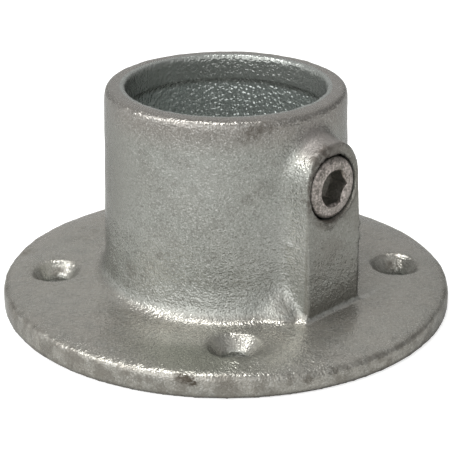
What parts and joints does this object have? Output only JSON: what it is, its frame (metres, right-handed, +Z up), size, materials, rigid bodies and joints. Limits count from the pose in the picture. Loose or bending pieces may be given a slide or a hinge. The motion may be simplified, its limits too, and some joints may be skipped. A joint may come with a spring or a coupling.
{
  "type": "tube clamp base flange",
  "caption": "Round cast base flange with an upright socket that takes a tube, gripped by a set screw; countersunk holes fix it to a floor or wall.",
  "frame": {"origin": "centre of the flange's underside, on the tube's axis", "axes": "+Z up along the tube's axis, out of the open socket; +X along the set screw, outwards"},
  "size_m": [0.1145, 0.1144, 0.0565],
  "materials": {
    "galvanised_iron": "hot-dip galvanised casting, dull mottled grey with a fine rough grain",
    "screw_steel": "oiled steel, slightly brown"
  },
  "bodies": {
    "flange": {"flange_casting": "galvanised_iron"},
    "screw": {"set_screw": "screw_steel"}
  },
  "joints": [
    {"name": "set_screw_travel", "type": "slide", "parent": "flange", "child": "screw", "axis": [1, 0, 0], "range_m": [-0.002, 0.008]}
  ]
}
